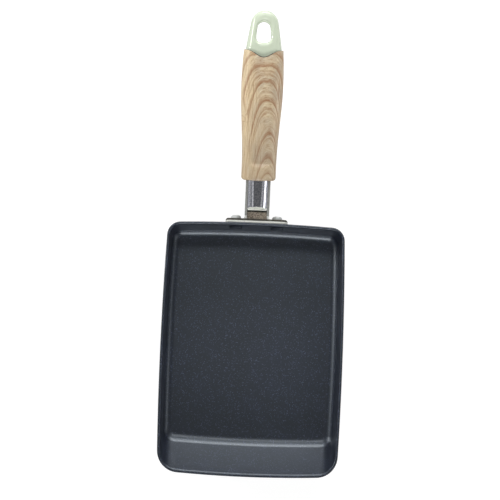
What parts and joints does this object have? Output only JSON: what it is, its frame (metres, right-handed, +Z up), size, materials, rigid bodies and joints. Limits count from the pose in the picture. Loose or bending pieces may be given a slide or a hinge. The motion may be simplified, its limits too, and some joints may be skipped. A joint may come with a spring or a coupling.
{
  "type": "rectangular omelette pan",
  "caption": "Small rectangular rolled-omelette pan with one sloping end wall, riveted steel bracket, wood-look grip and plastic hanging loop.",
  "frame": {"origin": "centre of the flat underside, on the surface that the pan stands on", "axes": "+Z up, +Y from the sloping end towards the handle, +X to the right of the handle seen from above"},
  "size_m": [0.135, 0.3422, 0.0668],
  "materials": {
    "non_stick_aluminium": "satin black non-stick coating with fine glitter over pressed aluminium",
    "bright_steel": "bright stainless sheet",
    "raw_steel": "pickled stainless sheet with sheared edges",
    "rivet_aluminium": "turned aluminium, coated on the pan's inside",
    "rough_steel": "rough dark cast surface",
    "polished_steel": "mirror-polished stainless",
    "wood_look_resin": "phenolic with a transferred wood grain under satin lacquer",
    "pale_green_plastic": "glossy moulded plastic",
    "zinc_steel": "zinc plated"
  },
  "bodies": {
    "root": {"pan_body": "non_stick_aluminium", "wall_plate": "bright_steel", "bracket": "raw_steel", "rivet_left": "rivet_aluminium", "rivet_right": "rivet_aluminium", "screw_block": "rough_steel", "sleeve": "polished_steel", "grip": "wood_look_resin", "loop_cap": "pale_green_plastic", "handle_screw": "zinc_steel", "flat_washer": "zinc_steel", "spring_washer": "zinc_steel"}
  },
  "joints": []
}
